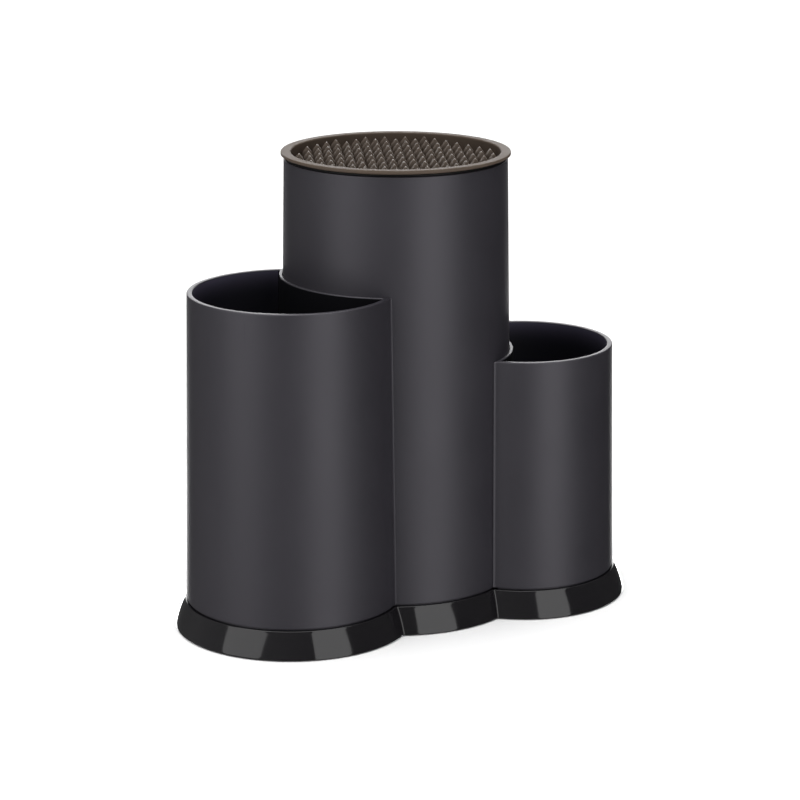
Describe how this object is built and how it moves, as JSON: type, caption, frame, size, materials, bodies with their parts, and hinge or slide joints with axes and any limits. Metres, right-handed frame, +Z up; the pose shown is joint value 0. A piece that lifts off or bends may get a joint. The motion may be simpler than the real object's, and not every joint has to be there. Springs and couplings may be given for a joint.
{
  "type": "universal knife block with utensil cups",
  "caption": "Round knife tube with a lift-out insert of flexible comb strips, hugged by a large and a small utensil cup on a flared base.",
  "frame": {"origin": "middle of the footprint, on the surface that the block stands on", "axes": "+X from the large cup to the small cup, -Y the front where both cups stand, +Z up"},
  "size_m": [0.2332, 0.1366, 0.225],
  "materials": {
    "body_plastic": "satin moulded polypropylene, black with a violet cast",
    "base_gloss": "polished black ABS",
    "plate_plastic": "moulded black ABS",
    "insert_plastic": "satin moulded polypropylene, warm brown-grey",
    "foot_rubber": "matt black rubber",
    "screw_steel": "zinc-plated steel",
    "seat_rubber": "smooth black moulded rubber"
  },
  "bodies": {
    "housing": {"knife_tube": "body_plastic", "large_cup": "body_plastic", "small_cup": "body_plastic", "base_skirt": "base_gloss", "base_plate": "plate_plastic", "rubber_feet": "foot_rubber", "base_screws": "screw_steel"},
    "insert": {"insert_ring": "insert_plastic", "seat_ring": "seat_rubber", "insert_sleeve": "insert_plastic", "insert_floor": "insert_plastic", "comb_strip_01": "insert_plastic", "comb_strip_02": "insert_plastic", "comb_strip_03": "insert_plastic", "comb_strip_04": "insert_plastic", "comb_strip_05": "insert_plastic", "comb_strip_06": "insert_plastic", "comb_strip_07": "insert_plastic", "comb_strip_08": "insert_plastic", "comb_strip_09": "insert_plastic", "comb_strip_10": "insert_plastic", "comb_strip_11": "insert_plastic", "comb_strip_12": "insert_plastic", "comb_strip_13": "insert_plastic", "comb_strip_14": "insert_plastic", "comb_strip_15": "insert_plastic", "comb_strip_16": "insert_plastic", "comb_strip_17": "insert_plastic", "comb_strip_18": "insert_plastic", "comb_strip_19": "insert_plastic", "comb_strip_20": "insert_plastic"}
  },
  "joints": [
    {"name": "insert_lift", "type": "slide", "parent": "housing", "child": "insert", "axis": [0, 0, 1], "range_m": [0, 0.21]}
  ]
}
